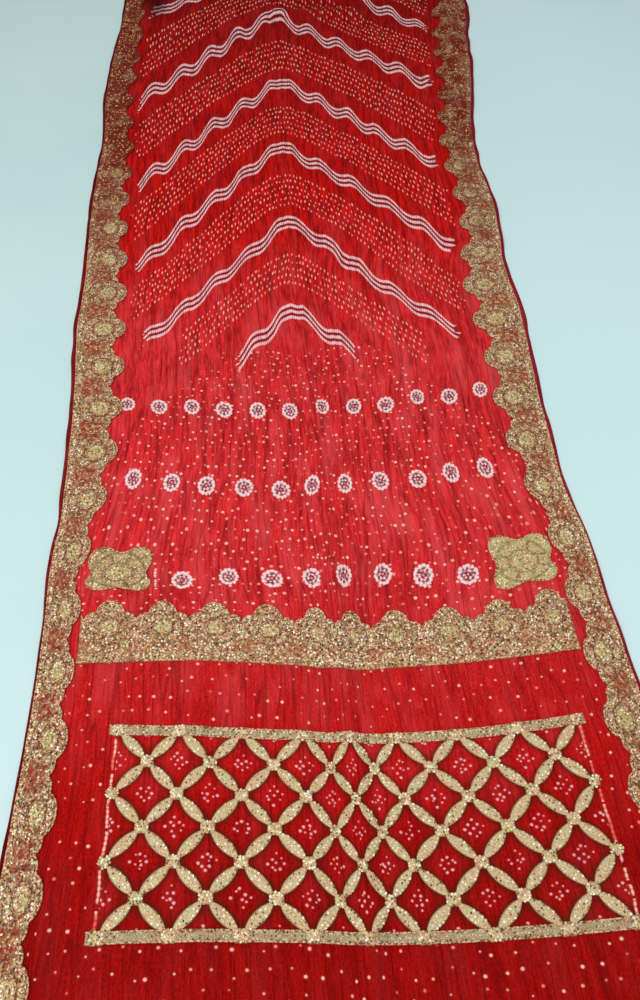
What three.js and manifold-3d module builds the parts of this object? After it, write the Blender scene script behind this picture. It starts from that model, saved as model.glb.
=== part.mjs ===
import * as THREE from 'three';
import { mergeVertices } from 'three/addons/utils/BufferGeometryUtils.js';
import Module from 'manifold-3d';

// A crinkled tie-dyed dupatta laid out flat, with gold lace along both sides, a gold cross
// border, two corner motifs and an openwork gold panel near one end.
// Millimetres. Y runs from the bordered near end to the far end, X across, Z up.

const wasm = await Module();
wasm.setup();

// Cloth
const halfLength = 1285;
const halfWidth = 450;
const laceAcross = 100;
const fieldHalf = halfWidth - laceAcross;
const clothThick = 2;
const hemWidth = 14;
const hemExtra = 1;
const hemStep = 2;
const columnStep = 30;
const rowStep = 65;

// The middle tuck takes up cloth between these two places across
const tuckFrom = -76;
const tuckTo = 106;

// How the dyed rows run ahead at the sides: a power of the share of the field's half width
const leadPower = 1.2;
const leadMost = 1.15;

// Gold work
const pieceGap = 0.3;
const goldThick = 1.2;
const selvedge = 8;
const lacePitch = 101;
const laceFlowerLeft = 37;
const laceFlowerRight = 7;
const laceEndGap = 1;
const borderStart = -800;
const borderDepth = 100;
const borderPitch = 70.2;
const borderMiddle = 7;
const borderRepeats = 5;
const borderEndGap = 2;
const cornerReach = 58;
const cornerTall = 1.12;
const cornerSteps = 24;
const cornerLeft = { across: -302, row: -627 };
const cornerRight = { across: 302, row: -634 };
const panelNear = -1150;
const panelFar = -901;
const panelMiddle = 13;
const panelHalfWidth = 302;
const panelBays = 8;
const panelRows = 6;
const panelBar = 14;
const leafWidth = 11;
const knotWidth = 22;

const table = (columns, rows) => rows.map(
  (row) => Object.fromEntries(columns.map((name, i) => [name, row[i]])),
);

// Where the cloth lies at each section along its length: the two edges, how wide the lace shows
// on each side, how much cloth the middle tuck takes up, how far the dyed rows at each side run
// ahead of the middle, and how far they bow ahead between the middle and the side
const sections = table(
  [
    'along', 'left', 'right', 'laceLeft', 'laceRight', 'tuck',
    'leadLeft', 'leadRight', 'bowLeft', 'bowRight',
  ],
  [
    [-1285, -468, 470, 66, 70, 46, 20, -6, 6, -5],
    [-1140, -463, 466, 64, 70, 46, 28, -6, 6, -5],
    [-890, -448, 450, 63, 70, 48, 42, 7, 5, -9],
    [-790, -444, 445, 59, 68, 56, 38, 8, 12, -6],
    [-690, -443, 440, 58, 66, 45, 42, 14, 7, -16],
    [-600, -445, 440, 62, 68, 22, 10, -10, 0, 0],
    [-500, -439, 427, 74, 74, 18, 36, 14, 0, 0],
    [-400, -440, 429, 90, 88, 14, 44, 24, 0, 0],
    [-300, -442, 431, 96, 94, 10, 48, 30, 0, 0],
    [-180, -448, 438, 100, 98, 3, 24, 22, 0, 0],
    [-60, -456, 445, 104, 110, 0, 4, 8, 0, 0],
    [60, -452, 439, 96, 104, 0, -20, 0, 0, 0],
    [150, -454, 446, 94, 90, 0, -35, 0, 0, 0],
    [280, -457, 455, 90, 92, 0, -32, 10, 0, 0],
    [430, -455, 448, 88, 88, 0, -25, 25, 0, 0],
    [580, -449, 461, 78, 92, 0, -22, 24, 0, 0],
    [740, -458, 490, 76, 96, 0, -20, 20, 0, 0],
    [860, -455, 508, 77, 102, 0, -20, 20, 0, 0],
    [1000, -448, 523, 77, 104, 0, 0, -8, 0, 0],
    [1100, -441, 542, 72, 108, 0, 30, -40, 0, 0],
    [1285, -435, 558, 70, 108, 0, 34, -50, 0, 0],
  ],
);

// Soft folds, each a rounded ridge between two points: the long middle tuck and its neighbours,
// then the lifted places at the far end and beside the laces
const folds = table(
  ['x1', 'y1', 'x2', 'y2', 'width', 'height'],
  [
    [-10, 40, 22, -1500, 62, 11],
    [-62, -420, -48, -1500, 66, 4],
    [84, -560, 72, -1500, 70, 4],
    [196, -640, 212, -1400, 74, 3],
    [-205, -560, -190, -1400, 80, 3],
    [322, -330, 348, -620, 70, 6],
    [-352, -330, -384, -640, 62, 4],
    [-372, 980, -366, 1420, 74, 15],
    [-318, 1090, -285, 1420, 70, 9],
    [-60, 1148, 270, 1140, 84, 13],
    [20, 1238, 300, 1226, 78, 15],
    [455, 560, 475, 1420, 84, 7],
    [-420, -60, -424, 420, 84, 4],
    [402, -260, 410, 330, 84, 5],
    [-150, 330, -120, 900, 90, 3],
    [150, 210, 190, 820, 90, 3],
  ],
);

// Long soft waves across the cloth, each with its own pitch and slow drift along the length
const waves = table(
  ['pitch', 'height', 'drift', 'phase'],
  [
    [118, 1.7, 900, 0.4],
    [163, 1.3, 1400, 2.1],
  ],
);
const waveFloor = 0.9;
const waveDrift = 0.3;

// Small puckers along both laces
const puckerPitch = 203;
const puckerHeight = 2.6;
const puckerFrom = 330;
const puckerTo = 420;

const smooth = (from, to, value) => THREE.MathUtils.smoothstep(value, from, to);

// A section column at a place along the length, on a smooth curve through its rows
function section(column, along) {
  const last = sections.length - 2;
  const found = sections.findIndex((row) => row.along > along);
  const i = THREE.MathUtils.clamp(found < 0 ? last : found - 1, 0, last);
  const here = sections[i];
  const next = sections[i + 1];
  const before = sections[Math.max(i - 1, 0)];
  const after = sections[Math.min(i + 2, last + 1)];
  const span = next.along - here.along;
  const t = THREE.MathUtils.clamp((along - here.along) / span, 0, 1);
  const slopeIn = (next[column] - before[column]) / (next.along - before.along);
  const slopeOut = (after[column] - here[column]) / (after.along - here.along);
  const t2 = t * t;
  const t3 = t2 * t;
  return (2 * t3 - 3 * t2 + 1) * here[column] + (t3 - 2 * t2 + t) * slopeIn * span
    + (3 * t2 - 2 * t3) * next[column] + (t3 - t2) * slopeOut * span;
}

// Sideways place of a point of the cloth: across is measured over its own width, from its middle
function sideways(across, along) {
  const left = section('left', along);
  const right = section('right', along);
  const innerLeft = left + section('laceLeft', along);
  const innerRight = right - section('laceRight', along);
  if (across < -fieldHalf) {
    return THREE.MathUtils.mapLinear(across, -halfWidth, -fieldHalf, left, innerLeft);
  }
  if (across > fieldHalf) {
    return THREE.MathUtils.mapLinear(across, fieldHalf, halfWidth, innerRight, right);
  }
  const tuck = section('tuck', along);
  const spread = THREE.MathUtils.mapLinear(across, -fieldHalf, fieldHalf, innerLeft, innerRight + tuck);
  return spread - tuck * smooth(tuckFrom, tuckTo, across);
}

// How far a dyed row runs ahead of the middle at a place across
function lead(across, along) {
  const side = across < 0 ? 'Left' : 'Right';
  const share = Math.abs(across) / fieldHalf;
  return section(`lead${side}`, along) * Math.min(share, leadMost) ** leadPower
    + section(`bow${side}`, along) * Math.sin(Math.PI * Math.min(share, 1));
}

const place = (across, row) => {
  const along = row + lead(across, row);
  return new THREE.Vector2(sideways(across, along), along);
};

function foldHeight(fold, x, y) {
  const runX = fold.x2 - fold.x1;
  const runY = fold.y2 - fold.y1;
  const run = Math.hypot(runX, runY);
  const t = ((x - fold.x1) * runX + (y - fold.y1) * runY) / (run * run);
  const aside = Math.abs((x - fold.x1) * runY - (y - fold.y1) * runX) / run / (fold.width / 2);
  if (aside >= 1 || t <= 0 || t >= 1) return 0;
  return fold.height * (1 - aside * aside) ** 2 * smooth(0, 0.2, t) * (1 - smooth(0.8, 1, t));
}

// Height of the underside over the surface that the cloth lies on
function underside(x, y) {
  const turn = 2 * Math.PI;
  const folded = folds.reduce((sum, fold) => sum + foldHeight(fold, x, y), 0);
  const waved = waves.reduce((sum, wave) => sum + wave.height
    * Math.sin(turn * (x / wave.pitch + waveDrift * Math.sin(turn * y / wave.drift)) + wave.phase), 0);
  const pucker = puckerHeight * smooth(puckerFrom, puckerTo, Math.abs(x))
    * Math.sin(turn * y / puckerPitch) ** 2;
  return Math.max(0, folded + waved + pucker - waveFloor);
}

const hemmed = (y) => (Math.abs(y) > halfLength - hemWidth ? hemExtra : 0);
const topSide = (x, y) => underside(x, y) + clothThick + hemmed(y);

const evenSteps = (from, to, step) => {
  const count = Math.round((to - from) / step);
  return Array.from({ length: count + 1 }, (_, i) => from + ((to - from) * i) / count);
};
const columns = evenSteps(-halfWidth, halfWidth, columnStep);
const rows = [
  -halfLength,
  -halfLength + hemWidth,
  ...evenSteps(-halfLength + hemWidth + hemStep, halfLength - hemWidth - hemStep, rowStep),
  halfLength - hemWidth,
  halfLength,
];

function geometryOf(positions, faces) {
  const geometry = new THREE.BufferGeometry();
  geometry.setAttribute('position', new THREE.Float32BufferAttribute(positions, 3));
  geometry.setIndex(faces);
  return geometry;
}

// A closed layer over part of the cloth's own grid, between two height functions
function layer(firstColumn, lastColumn, firstRow, lastRow, lower, upper) {
  const across = columns.slice(firstColumn, lastColumn + 1);
  const along = rows.slice(firstRow, lastRow + 1);
  const positions = [];
  for (const height of [lower, upper]) {
    for (const y of along) {
      for (const p of across) {
        const x = sideways(p, y);
        positions.push(x, y, height(x, y));
      }
    }
  }
  const wide = across.length;
  const layerSize = wide * along.length;
  const at = (column, row, up) => up * layerSize + row * wide + column;
  const faces = [];
  for (let row = 0; row < along.length - 1; row += 1) {
    for (let column = 0; column < wide - 1; column += 1) {
      const [a, b, c, d] = [at(column, row, 0), at(column + 1, row, 0),
        at(column + 1, row + 1, 0), at(column, row + 1, 0)];
      faces.push(a, c, b, a, d, c);
      faces.push(a + layerSize, b + layerSize, c + layerSize, a + layerSize, c + layerSize, d + layerSize);
    }
  }
  const wall = (from, to) => faces.push(from, to, to + layerSize, from, to + layerSize, from + layerSize);
  for (let column = 0; column < wide - 1; column += 1) {
    wall(at(column, 0, 0), at(column + 1, 0, 0));
    wall(at(column + 1, along.length - 1, 0), at(column, along.length - 1, 0));
  }
  for (let row = 0; row < along.length - 1; row += 1) {
    wall(at(0, row + 1, 0), at(0, row, 0));
    wall(at(wide - 1, row, 0), at(wide - 1, row + 1, 0));
  }
  return geometryOf(positions, faces);
}

function toSolid(source) {
  const bare = source.clone();
  bare.deleteAttribute('normal');
  bare.deleteAttribute('uv');
  const merged = mergeVertices(bare, 1e-4);
  return new wasm.Manifold(new wasm.Mesh({
    numProp: 3,
    vertProperties: new Float32Array(merged.attributes.position.array),
    triVerts: new Uint32Array(merged.index.array),
  }));
}

function toGeometry(solid) {
  const mesh = solid.getMesh();
  return geometryOf(Array.from(mesh.vertProperties), Array.from(mesh.triVerts));
}

// The part of a gold layer that lies inside an outline, with its openings cut through: the
// outline is raised from below the table to above the highest fold
const cutBelow = 5;
const cutHeight = 60;
function applied(outline, openings = []) {
  const shape = new THREE.Shape(outline);
  shape.holes = openings.map((points) => new THREE.Path(points));
  const across = outline.map((point) => point.x);
  const along = outline.map((point) => point.y);
  const low = new THREE.Vector2(Math.min(...across), Math.min(...along));
  const high = new THREE.Vector2(Math.max(...across), Math.max(...along));
  const firstRow = Math.max(rows.findLastIndex((y) => y <= low.y), 0);
  const lastRow = rows.findIndex((y) => y >= high.y);
  const near = rows.slice(firstRow, lastRow + 1);
  const leftmost = columns.findIndex((p) => near.some((y) => sideways(p, y) >= low.x));
  const rightmost = columns.findLastIndex((p) => near.some((y) => sideways(p, y) <= high.x));
  const firstColumn = Math.max(leftmost - 1, 0);
  const lastColumn = Math.min(rightmost + 1, columns.length - 1);
  const lower = (x, y) => topSide(x, y) + pieceGap;
  const upper = (x, y) => lower(x, y) + goldThick;
  const prism = new THREE.ExtrudeGeometry(shape, { depth: cutHeight, bevelEnabled: false });
  prism.translate(0, 0, -cutBelow);
  const sheet = toSolid(layer(firstColumn, lastColumn, firstRow, lastRow, lower, upper));
  return toGeometry(toSolid(prism).intersect(sheet));
}

// A scalloped edge, in shares of one repeat and of the full depth: a broad round lobe with a
// small shoulder on either side
const scallopLobes = table(
  ['middle', 'depth', 'radius'],
  [
    [0, 0.73, 0.27],
    [-0.33, 0.62, 0.17],
    [0.33, 0.62, 0.17],
  ],
);
const scallopLeast = 0.55;
const scallopSteps = 8;
function scallop(share) {
  const away = share - Math.round(share);
  return scallopLobes.reduce((most, lobe) => {
    const aside = away - lobe.middle;
    const rise = Math.sqrt(Math.max(lobe.radius ** 2 - aside ** 2, 0));
    return rise > 0 ? Math.max(most, lobe.depth + rise) : most;
  }, scallopLeast);
}

// Lace along one side: side is -1 on the left, 1 on the right
function sideLace(side, flowerAt) {
  const outer = halfWidth - selvedge;
  const depth = laceAcross - selvedge;
  const end = halfLength - hemWidth - laceEndGap;
  const step = lacePitch / scallopSteps;
  const first = flowerAt + Math.ceil((-end - flowerAt) / step) * step;
  const inner = evenSteps(first, first + Math.floor((end - first) / step) * step, step).map(
    (y) => new THREE.Vector2(sideways(side * (outer - depth * scallop((y - flowerAt) / lacePitch)), y), y),
  );
  const straight = rows.slice(1, -1).filter((y) => Math.abs(y) < end)
    .map((y) => new THREE.Vector2(sideways(side * outer, y), y));
  return applied([...inner, ...straight.reverse()]);
}

// Cross border: the scallops point towards the far end
function crossBorder() {
  const end = fieldHalf - borderEndGap;
  const step = borderPitch / scallopSteps;
  const first = borderMiddle + borderPitch / 2;
  const half = borderRepeats * borderPitch;
  const tops = evenSteps(first - half, first + half, step).filter((p) => Math.abs(p) < end);
  const points = [-end, ...tops, end];
  const edge = points.map((p) => place(p, borderStart + borderDepth * scallop((p - first) / borderPitch)));
  const base = evenSteps(-end, end, columnStep * 2).map((p) => place(p, borderStart));
  return applied([...base, ...edge.reverse()]);
}

// A square motif with drawn-in sides and full corners: its reach swings between the two, four
// times round
const cornerMean = 0.84;
const cornerSwing = 0.16;
function cornerMotif({ across, row }) {
  return applied(Array.from({ length: cornerSteps }, (_, i) => {
    const angle = (2 * Math.PI * (i + 0.5)) / cornerSteps;
    const reach = cornerReach * (cornerMean - cornerSwing * Math.cos(4 * angle));
    return place(across + reach * Math.cos(angle), row + cornerTall * reach * Math.sin(angle));
  }));
}

// Net of leaves that cross between two bars. A node of the net is a knot; odd rows sit half a
// bay over, and each opening is an eight-cornered diamond between four knots
function netPanel() {
  const bay = (2 * panelHalfWidth) / panelBays;
  const rise = (panelFar - panelNear) / panelRows;
  const knot = (i, j) => ({
    p: panelMiddle - panelHalfWidth + bay * (i + (j % 2) / 2),
    q: panelNear + rise * j,
  });
  const leafInset = (leafWidth / 2) * Math.hypot(2 / bay, 1 / rise);
  const opening = (i, j) => {
    const middle = knot(i + 0.5, j);
    const blunt = knotWidth / 2 / rise;
    const quarter = [
      [1 - blunt, blunt - leafInset],
      [blunt - leafInset, 1 - blunt],
    ];
    const corners = [0, 1, 2, 3].flatMap((turns) => quarter.map(([x, y]) => (
      [[x, y], [-y, x], [-x, -y], [y, -x]][turns])));
    return corners.map(([x, y]) => place(
      middle.p + (x * bay) / 2,
      THREE.MathUtils.clamp(middle.q + y * rise, panelNear + panelBar / 2, panelFar - panelBar / 2),
    ));
  };
  const openings = [];
  for (let j = 0; j <= panelRows; j += 1) {
    const count = j % 2 ? panelBays - 1 : panelBays;
    for (let i = 0; i < count; i += 1) openings.push(opening(i, j));
  }
  const far = panelFar + panelBar / 2;
  const near = panelNear - panelBar / 2;
  const sideRows = Array.from({ length: panelRows + 1 }, (_, j) => j);
  const sidePoint = (j, last) => {
    const spot = knot(last ? (j % 2 ? panelBays - 1 : panelBays) : 0, j);
    return place(spot.p + (last ? 1 : -1) * (knotWidth / 2), spot.q);
  };
  const barEnd = panelHalfWidth + knotWidth / 2;
  const barSteps = evenSteps(panelMiddle - barEnd, panelMiddle + barEnd, columnStep * 2);
  return applied([
    ...barSteps.map((p) => place(p, near)),
    ...sideRows.map((j) => sidePoint(j, true)),
    ...barSteps.map((p) => place(p, far)).reverse(),
    ...sideRows.map((j) => sidePoint(j, false)).reverse(),
  ], openings);
}

const finishes = {
  cloth: new THREE.MeshStandardMaterial({ color: 0xb3161f, roughness: 0.82, metalness: 0 }),
  gold: new THREE.MeshStandardMaterial({ color: 0xbfa468, roughness: 0.5, metalness: 0.35 }),
};

// The edges lie unevenly, so the middle of the whole is set at X = 0
const middle = (sections[0].left + sections[sections.length - 1].right) / 2;
const dupatta = new THREE.Group();
dupatta.position.set(-middle, 0, 0);

function add(name, geometry, finish) {
  geometry.computeVertexNormals();
  const mesh = new THREE.Mesh(geometry, finishes[finish]);
  mesh.name = name;
  dupatta.add(mesh);
}

const wholeCloth = layer(0, columns.length - 1, 0, rows.length - 1, underside, topSide);
add('cloth', toGeometry(toSolid(wholeCloth)), 'cloth');
add('lace_left', sideLace(-1, laceFlowerLeft), 'gold');
add('lace_right', sideLace(1, laceFlowerRight), 'gold');
add('lace_cross', crossBorder(), 'gold');
add('corner_left', cornerMotif(cornerLeft), 'gold');
add('corner_right', cornerMotif(cornerRight), 'gold');
add('net_panel', netPanel(), 'gold');

export default dupatta;
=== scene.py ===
import math

import bmesh
import bpy
import numpy as np
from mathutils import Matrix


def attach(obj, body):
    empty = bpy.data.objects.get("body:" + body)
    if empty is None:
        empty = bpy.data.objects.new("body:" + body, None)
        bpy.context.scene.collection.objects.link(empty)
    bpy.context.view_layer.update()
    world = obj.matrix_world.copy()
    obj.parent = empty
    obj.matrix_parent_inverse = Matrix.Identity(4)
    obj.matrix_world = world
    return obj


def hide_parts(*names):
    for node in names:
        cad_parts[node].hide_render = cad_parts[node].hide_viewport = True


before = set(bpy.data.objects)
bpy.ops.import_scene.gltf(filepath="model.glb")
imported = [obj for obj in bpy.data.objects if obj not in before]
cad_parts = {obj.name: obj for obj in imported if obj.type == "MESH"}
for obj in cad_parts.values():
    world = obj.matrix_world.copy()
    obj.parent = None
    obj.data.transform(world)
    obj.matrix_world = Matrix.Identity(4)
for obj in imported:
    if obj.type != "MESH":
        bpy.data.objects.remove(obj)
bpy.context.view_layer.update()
print("frame loaded:", sorted(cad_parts))

turn = 2 * math.pi

# How the cloth lies: millimetres on the table, before the whole is centred on X = 0.
# across runs over the cloth's own width, row runs along its length.
cloth = {
    "halfWidth": 450,
    "halfLength": 1285,
    "laceAcross": 100,
    "tuckFrom": -76,
    "tuckTo": 106,
    "leadPower": 1.2,
    "leadMost": 1.15,
    "waveFloor": 0.9,
    "waveDrift": 0.3,
    "puckerPitch": 203,
    "puckerHeight": 2.6,
    "puckerFrom": 330,
    "puckerTo": 420,
    "solidThick": 2.0,
    "hem": 14,
    "flat": (1.05, 2.57),
    "columns": 270,
    "rows": 335,
    "coarse": 5,
}
sectionColumns = ["along", "left", "right", "laceLeft", "laceRight", "tuck",
                  "leadLeft", "leadRight", "bowLeft", "bowRight"]
sections = np.array([
    [-1285, -468, 470, 66, 70, 46, 20, -6, 6, -5],
    [-1140, -463, 466, 64, 70, 46, 28, -6, 6, -5],
    [-890, -448, 450, 63, 70, 48, 42, 7, 5, -9],
    [-790, -444, 445, 59, 68, 56, 38, 8, 12, -6],
    [-690, -443, 440, 58, 66, 45, 42, 14, 7, -16],
    [-600, -445, 440, 62, 68, 22, 10, -10, 0, 0],
    [-500, -439, 427, 74, 74, 18, 36, 14, 0, 0],
    [-400, -440, 429, 90, 88, 14, 44, 24, 0, 0],
    [-300, -442, 431, 96, 94, 10, 48, 30, 0, 0],
    [-180, -448, 438, 100, 98, 3, 24, 22, 0, 0],
    [-60, -456, 445, 104, 110, 0, 4, 8, 0, 0],
    [60, -452, 439, 96, 104, 0, -20, 0, 0, 0],
    [150, -454, 446, 94, 90, 0, -35, 0, 0, 0],
    [280, -457, 455, 90, 92, 0, -32, 10, 0, 0],
    [430, -455, 448, 88, 88, 0, -25, 25, 0, 0],
    [580, -449, 461, 78, 92, 0, -22, 24, 0, 0],
    [740, -458, 490, 76, 96, 0, -20, 20, 0, 0],
    [860, -455, 508, 77, 102, 0, -20, 20, 0, 0],
    [1000, -448, 523, 77, 104, 0, 0, -8, 0, 0],
    [1100, -441, 542, 72, 108, 0, 30, -40, 0, 0],
    [1285, -435, 558, 70, 108, 0, 34, -50, 0, 0],
], dtype=float)
foldColumns = ["x1", "y1", "x2", "y2", "width", "height"]
folds = [dict(zip(foldColumns, row)) for row in [
    [-10, 40, 22, -1500, 62, 11],
    [-62, -420, -48, -1500, 66, 4],
    [84, -560, 72, -1500, 70, 4],
    [196, -640, 212, -1400, 74, 3],
    [-205, -560, -190, -1400, 80, 3],
    [322, -330, 348, -620, 70, 6],
    [-352, -330, -384, -640, 62, 4],
    [-372, 980, -366, 1420, 74, 15],
    [-318, 1090, -285, 1420, 70, 9],
    [-60, 1148, 270, 1140, 84, 13],
    [20, 1238, 300, 1226, 78, 15],
    [455, 560, 475, 1420, 84, 7],
    [-420, -60, -424, 420, 84, 4],
    [402, -260, 410, 330, 84, 5],
    [-150, 330, -120, 900, 90, 3],
    [150, 210, 190, 820, 90, 3],
]]
waveColumns = ["pitch", "height", "drift", "phase"]
waves = [dict(zip(waveColumns, row)) for row in [
    [118, 1.7, 900, 0.4],
    [163, 1.3, 1400, 2.1],
]]
middle = (sections[0][1] + sections[-1][2]) / 2


def smooth(low, high, value):
    t = np.clip((np.asarray(value, float) - low) / (high - low), 0, 1)
    return t * t * (3 - 2 * t)


def section(name, along):
    # smooth curve through the rows of the sections table
    k = sectionColumns.index(name)
    y = np.asarray(along, float)
    last = len(sections) - 1
    i = np.clip(np.searchsorted(sections[:, 0], y, side="right") - 1, 0, last - 1)
    before = np.maximum(i - 1, 0)
    after = np.minimum(i + 2, last)
    at, value = sections[:, 0], sections[:, k]
    span = at[i + 1] - at[i]
    t = np.clip((y - at[i]) / span, 0, 1)
    slopeIn = (value[i + 1] - value[before]) / (at[i + 1] - at[before])
    slopeOut = (value[after] - value[i]) / (at[after] - at[i])
    t2, t3 = t * t, t * t * t
    return ((2 * t3 - 3 * t2 + 1) * value[i] + (t3 - 2 * t2 + t) * slopeIn * span
            + (3 * t2 - 2 * t3) * value[i + 1] + (t3 - t2) * slopeOut * span)


def sideways(across, along):
    half = cloth["halfWidth"]
    inner = half - cloth["laceAcross"]
    left, right = section("left", along), section("right", along)
    innerLeft = left + section("laceLeft", along)
    innerRight = right - section("laceRight", along)
    tuck = section("tuck", along)
    spread = innerLeft + (innerRight + tuck - innerLeft) * (across + inner) / (2 * inner)
    spread = spread - tuck * smooth(cloth["tuckFrom"], cloth["tuckTo"], across)
    leftLace = left + (innerLeft - left) * (across + half) / (half - inner)
    rightLace = innerRight + (right - innerRight) * (across - inner) / (half - inner)
    return np.where(across < -inner, leftLace, np.where(across > inner, rightLace, spread))


def lead(across, along):
    ahead = np.where(across < 0, section("leadLeft", along), section("leadRight", along))
    bow = np.where(across < 0, section("bowLeft", along), section("bowRight", along))
    share = np.abs(across) / (cloth["halfWidth"] - cloth["laceAcross"])
    ahead = ahead * np.minimum(share, cloth["leadMost"]) ** cloth["leadPower"]
    return ahead + bow * np.sin(math.pi * np.minimum(share, 1))


def underside(x, y):
    # height of the cloth's underside over the table
    height = -cloth["waveFloor"] + np.zeros_like(x)
    for wave in waves:
        drift = cloth["waveDrift"] * np.sin(turn * y / wave["drift"])
        height = height + wave["height"] * np.sin(turn * (x / wave["pitch"] + drift) + wave["phase"])
    pucker = np.sin(turn * y / cloth["puckerPitch"]) ** 2
    atSides = smooth(cloth["puckerFrom"], cloth["puckerTo"], np.abs(x))
    height = height + cloth["puckerHeight"] * atSides * pucker
    for fold in folds:
        runX, runY = fold["x2"] - fold["x1"], fold["y2"] - fold["y1"]
        run = math.hypot(runX, runY)
        t = ((x - fold["x1"]) * runX + (y - fold["y1"]) * runY) / run ** 2
        aside = np.abs((x - fold["x1"]) * runY - (y - fold["y1"]) * runX) / run / (fold["width"] / 2)
        bell = np.clip(1 - aside * aside, 0, None) ** 2
        height = height + fold["height"] * bell * smooth(0, 0.2, t) * (1 - smooth(0.8, 1, t))
    return np.maximum(height, 0)


def onTable(across, along, lift):
    # a point of the cloth, with along already the place on the table, in metres
    x = sideways(across, along)
    z = underside(x, along) + lift
    return np.stack([(x - middle) / 1000, along / 1000 + 0 * x, z / 1000], axis=-1)


def onPattern(across, row, lift):
    # a point of the dyed pattern, whose rows run ahead at the sides
    return onTable(across, row + lead(across, row), lift)


def valueNoise(u, v, seed):
    # smooth random hills, one to a unit of u and v
    rng = np.random.default_rng(seed)
    size = 512
    grid = rng.random((size, size))
    iu, iv = np.floor(u).astype(int), np.floor(v).astype(int)
    fu, fv = smooth(0, 1, u - iu), smooth(0, 1, v - iv)
    corner = [[grid[(iu + a) % size, (iv + b) % size] for b in (0, 1)] for a in (0, 1)]
    low = corner[0][0] * (1 - fu) + corner[1][0] * fu
    high = corner[0][1] * (1 - fu) + corner[1][1] * fu
    return low * (1 - fv) + high * fv


def addObject(name, data):
    made = bpy.data.objects.new(name, data)
    bpy.context.scene.collection.objects.link(made)
    return made


def meshObject(name, points, faces, uv=None, values=None, merge=0):
    # an object at the origin from arrays; values are float attributes on its points
    data = bpy.data.meshes.new(name)
    data.from_pydata(points.tolist(), [], faces)
    if uv is not None:
        layer = data.uv_layers.new(name="UVMap")
        corners = np.empty(len(data.loops), dtype=np.int32)
        data.loops.foreach_get("vertex_index", corners)
        layer.data.foreach_set("uv", uv[corners].astype(np.float32).ravel())
    for key, column in (values or {}).items():
        data.attributes.new(key, "FLOAT", "POINT").data.foreach_set("value", column.astype(np.float32))
    made = bpy.data.objects.new(name, data)
    bpy.context.scene.collection.objects.link(made)
    if merge:
        shape = bmesh.new()
        shape.from_mesh(data)
        bmesh.ops.remove_doubles(shape, verts=shape.verts, dist=merge)
        bmesh.ops.dissolve_degenerate(shape, edges=shape.edges, dist=merge)
        bmesh.ops.recalc_face_normals(shape, faces=shape.faces)
        shape.to_mesh(data)
        shape.free()
    data.polygons.foreach_set("use_smooth", np.ones(len(data.polygons), dtype=bool))
    data.update()
    return made


# Shader maths
def withOther(operation):
    return lambda self, other: self.math(operation, other)


def fromOther(operation):
    return lambda self, other: self.math(operation, other, swapped=True)


def alone(operation):
    return lambda self: self.math(operation)


class Wire:
    # a socket that Python's operators work on
    def __init__(self, tree, socket):
        self.tree = tree
        self.socket = socket

    def math(self, operation, *others, clamp=False, swapped=False):
        node = self.tree.nodes.new("ShaderNodeMath")
        node.operation = operation
        node.use_clamp = clamp
        values = (self,) + others
        for place, value in enumerate(values[::-1] if swapped else values):
            if isinstance(value, Wire):
                self.tree.links.new(value.socket, node.inputs[place])
            else:
                node.inputs[place].default_value = value
        return Wire(self.tree, node.outputs[0])

    __add__ = __radd__ = withOther("ADD")
    __mul__ = __rmul__ = withOther("MULTIPLY")
    __sub__, __rsub__ = withOther("SUBTRACT"), fromOther("SUBTRACT")
    __truediv__, __rtruediv__ = withOther("DIVIDE"), fromOther("DIVIDE")
    __mod__ = withOther("FLOORED_MODULO")
    __lt__, __gt__ = withOther("LESS_THAN"), withOther("GREATER_THAN")
    __abs__ = alone("ABSOLUTE")
    low, high = withOther("MINIMUM"), withOther("MAXIMUM")
    round, floor, fract = alone("ROUND"), alone("FLOOR"), alone("FRACT")
    sin, cos, root = alone("SINE"), alone("COSINE"), alone("SQRT")

    def clamp(self, least=0.0, most=1.0):
        return self.high(least).low(most)

    def ramp(self, start, end):
        # 0 at start, 1 at end, straight between
        return self.math("SUBTRACT", start).math("DIVIDE", end - start, clamp=True)

    def inside(self, low, high):
        # 1 between two values, 0 elsewhere
        return (self > low) * (self < high)


def length(a, b):
    return (a * a + b * b).root()


def within(distance, mask):
    # a distance where mask is 1, and far away elsewhere
    return distance + (1 - mask) * 99


def rgb(red, green, blue):
    # a colour as read from a picture, 0 to 255
    def straight(value):
        value = value / 255
        return value / 12.92 if value <= 0.04045 else ((value + 0.055) / 1.055) ** 2.4
    return (straight(red), straight(green), straight(blue), 1.0)


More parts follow.
